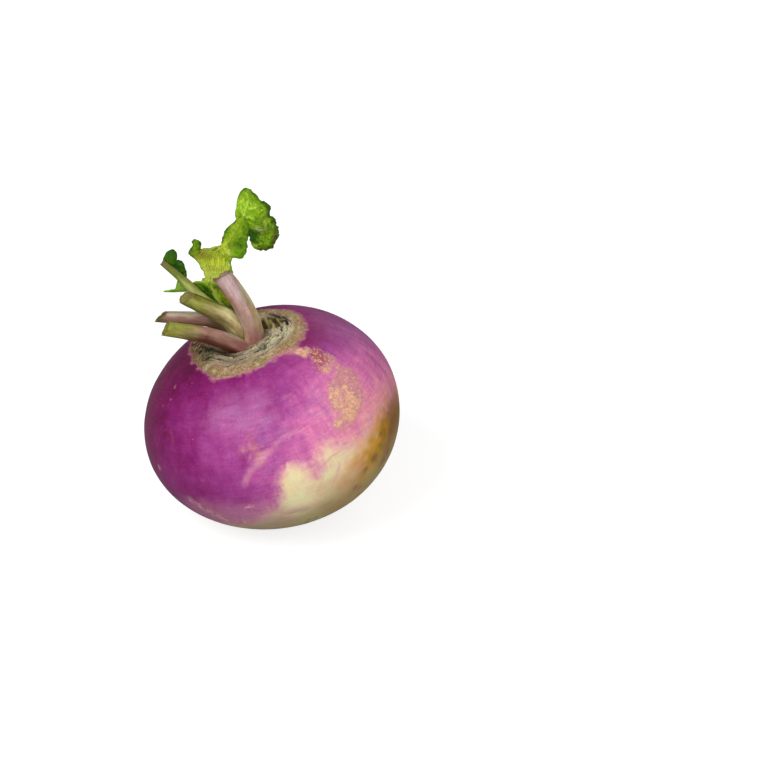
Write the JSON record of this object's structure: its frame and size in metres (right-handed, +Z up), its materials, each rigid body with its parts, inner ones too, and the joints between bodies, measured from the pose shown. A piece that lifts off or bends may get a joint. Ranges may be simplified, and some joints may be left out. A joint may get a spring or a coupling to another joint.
{
  "type": "purple-top turnip",
  "caption": "Flattened round turnip root, purple above and cream below, with a corky crown, trimmed leaf stalks and young leaves.",
  "frame": {"origin": "centre of the small worn flat on the underside, which the root rests on", "axes": "+Z up, away from the surface it rests on; the crown leans towards -X, and the cut stalks are seen best from -Y"},
  "size_m": [0.0953, 0.0956, 0.1227],
  "materials": {
    "root_skin": "satin",
    "stalk_skin": "satin",
    "dried_stalk": "matte",
    "leaf_green": "satin"
  },
  "bodies": {
    "root": {"root": "root_skin", "stalk_upright": "stalk_skin", "stalk_front": "stalk_skin", "stalk_middle": "stalk_skin", "stalk_rear": "stalk_skin", "stalk_stump": "dried_stalk", "side_leaf_stalk": "stalk_skin", "young_leaf_stalk": "stalk_skin", "young_leaf_blade": "leaf_green", "side_leaf_upper_blade": "leaf_green", "side_leaf_lower_blade": "leaf_green"}
  },
  "joints": []
}
